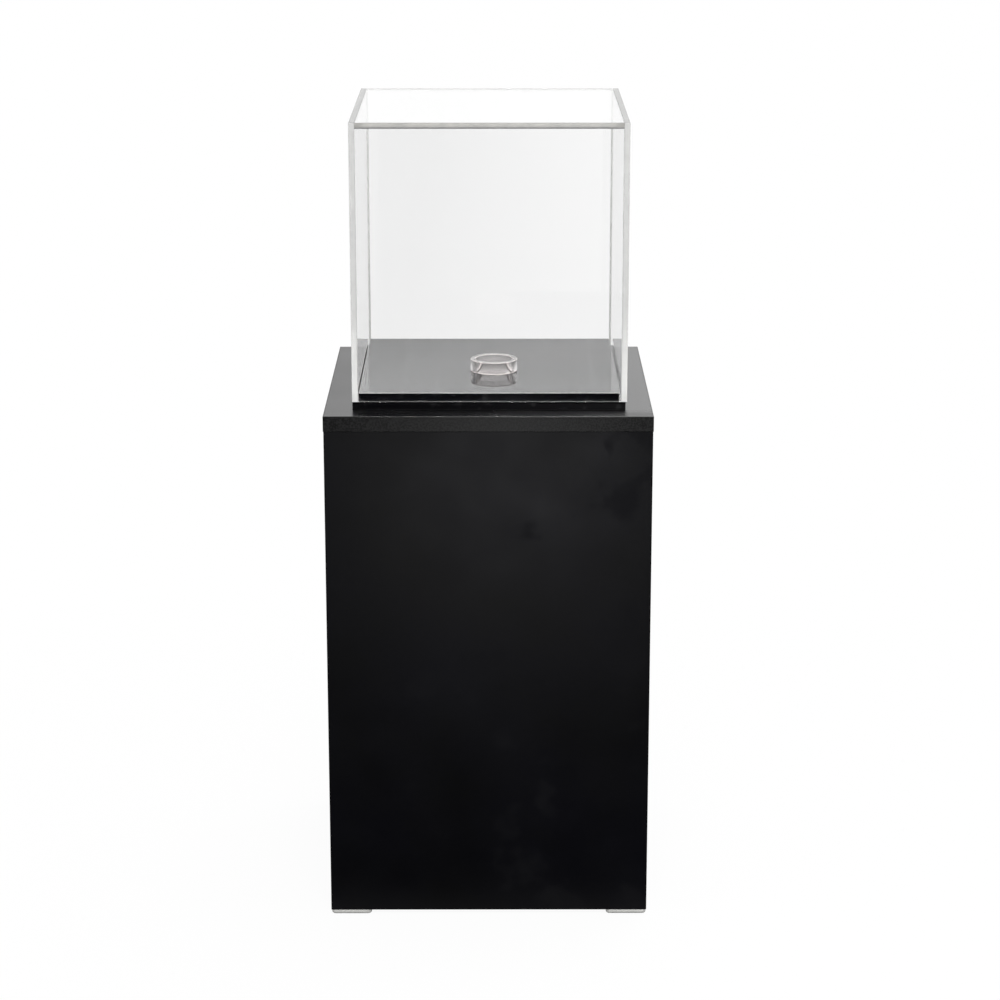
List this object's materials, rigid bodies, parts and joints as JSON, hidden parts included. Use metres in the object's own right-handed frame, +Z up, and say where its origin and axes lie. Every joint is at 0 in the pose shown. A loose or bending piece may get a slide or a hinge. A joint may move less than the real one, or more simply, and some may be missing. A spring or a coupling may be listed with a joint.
{
  "type": "pedestal display case",
  "caption": "Square laminated-board pedestal on glides, with a gloss base, a lift-off clear acrylic cover and a loose ring that holds a ball.",
  "frame": {"origin": "on the floor, under the centre of the square pedestal", "axes": "+Z up, +Y towards the back, +X to the right as seen from the front"},
  "size_m": [0.356, 0.356, 0.889],
  "materials": {
    "clear_acrylic": "clear cast acrylic sheet with polished edges",
    "ring_acrylic": "clear cast acrylic tube with polished edges",
    "black_acrylic": "gloss black acrylic sheet",
    "laminated_board": "particle board faced with satin black melamine",
    "edge_band": "pebbled black edge banding",
    "softwood": "planed softwood",
    "zinc_steel": "zinc-plated steel",
    "grey_glide": "moulded light grey plastic"
  },
  "bodies": {
    "pedestal": {"display_plate": "black_acrylic", "base_plate": "black_acrylic", "base_screws": "zinc_steel", "cap_board": "laminated_board", "cap_band_front": "edge_band", "cap_band_right": "edge_band", "cap_band_back": "edge_band", "cap_band_left": "edge_band", "cap_cleat_front": "softwood", "cap_cleat_right": "softwood", "cap_cleat_back": "softwood", "cap_cleat_left": "softwood", "cap_screws": "zinc_steel", "cleat_screws": "zinc_steel", "panel_front": "laminated_board", "panel_right": "laminated_board", "panel_back": "laminated_board", "panel_left": "laminated_board", "panel_bottom": "laminated_board", "front_band_left": "edge_band", "front_band_right": "edge_band", "back_band_left": "edge_band", "back_band_right": "edge_band", "corner_batten_fl": "softwood", "corner_batten_fr": "softwood", "corner_batten_br": "softwood", "corner_batten_bl": "softwood", "batten_screws": "zinc_steel", "glide_fl": "grey_glide", "glide_fr": "grey_glide", "glide_br": "grey_glide", "glide_bl": "grey_glide", "glide_screws": "zinc_steel"},
    "cover": {"cover_top": "clear_acrylic", "cover_front": "clear_acrylic", "cover_right": "clear_acrylic", "cover_back": "clear_acrylic", "cover_left": "clear_acrylic"},
    "ring": {"ball_ring": "ring_acrylic"}
  },
  "joints": [
    {"name": "cover_lift", "type": "slide", "parent": "pedestal", "child": "cover", "axis": [0, 0, 1], "range_m": [0, 0.32]},
    {"name": "ring_lift", "type": "slide", "parent": "pedestal", "child": "ring", "axis": [0, 0, 1], "range_m": [0, 0.25]}
  ]
}
